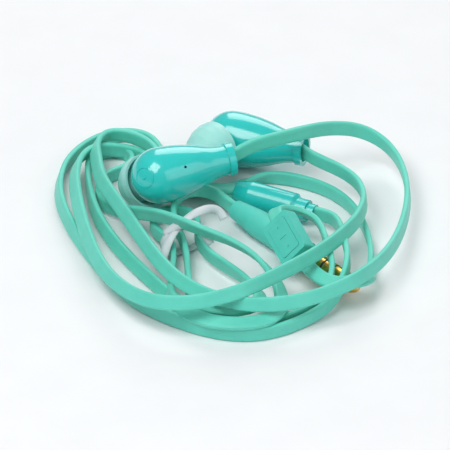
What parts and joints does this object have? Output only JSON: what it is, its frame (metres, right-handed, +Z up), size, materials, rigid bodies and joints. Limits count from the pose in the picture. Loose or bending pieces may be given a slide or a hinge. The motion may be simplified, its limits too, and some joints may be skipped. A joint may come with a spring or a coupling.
{
  "type": "wired earphones",
  "caption": "Wired in-ear earphones with flat cable, Y-splitter, in-line microphone box and 3.5 mm plug, lying loosely coiled with a tied hank.",
  "frame": {"origin": "on the surface it lies on, under the middle of the two earbuds", "axes": "+Z up, +X along the width of the two earbuds from the left one to the right one's stem, +Y to the back"},
  "size_m": [0.067, 0.071, 0.0148],
  "materials": {
    "black_plastic": "matt",
    "board": "solder mask",
    "cable_skin": "matt",
    "copper": "enamelled wire",
    "film": "clear film",
    "gloss_teal": "gloss",
    "gold": "gold plated",
    "magnet": "nickel plated",
    "matt_mint": "matt",
    "silicone": "matt",
    "steel": "plated",
    "steel_mesh": "fine mesh",
    "tie_paper": "satin"
  },
  "bodies": {
    "earphones": {"coil": "cable_skin", "hank": "cable_skin", "left_basket": "black_plastic", "left_diaphragm": "film", "left_front_housing": "gloss_teal", "left_lead": "cable_skin", "left_magnet": "magnet", "left_nozzle_mesh": "steel_mesh", "left_rear_housing": "gloss_teal", "left_strain_relief": "matt_mint", "left_tail": "cable_skin", "left_top_plate": "steel", "left_voice_coil": "copper", "left_yoke": "steel", "main_lead": "cable_skin", "mic_base": "matt_mint", "mic_board": "board", "mic_capsule": "steel", "mic_cover": "matt_mint", "mic_lead": "cable_skin", "mic_switch": "steel", "mic_tail": "cable_skin", "plug_insulator": "black_plastic", "plug_lead": "cable_skin", "plug_overmould": "matt_mint", "plug_ring_1": "gold", "plug_ring_2": "gold", "plug_sleeve": "gold", "plug_tip": "gold", "right_basket": "black_plastic", "right_diaphragm": "film", "right_front_housing": "gloss_teal", "right_lead": "cable_skin", "right_magnet": "magnet", "right_nozzle_mesh": "steel_mesh", "right_rear_housing": "gloss_teal", "right_strain_relief": "matt_mint", "right_tail": "cable_skin", "right_top_plate": "steel", "right_voice_coil": "copper", "right_yoke": "steel", "splitter_body": "gloss_teal", "splitter_collar": "gloss_teal", "twist_tie": "tie_paper"},
    "left_tip": {"left_ear_tip": "silicone"},
    "right_tip": {"right_ear_tip": "silicone"},
    "button": {"mic_button": "matt_mint"}
  },
  "joints": [
    {"name": "left_tip_pull_off", "type": "slide", "parent": "earphones", "child": "left_tip", "axis": [-0.5732, 0.5428, -0.6139], "range_m": [0, 0.0035]},
    {"name": "right_tip_pull_off", "type": "slide", "parent": "earphones", "child": "right_tip", "axis": [-0.7079, -0.6937, 0.1326], "range_m": [0, 0.0035]},
    {"name": "mic_button_press", "type": "slide", "parent": "earphones", "child": "button", "axis": [0.621, 0.5591, -0.5493], "range_m": [0, 0.00025], "stiffness_N_per_m": 1500}
  ]
}
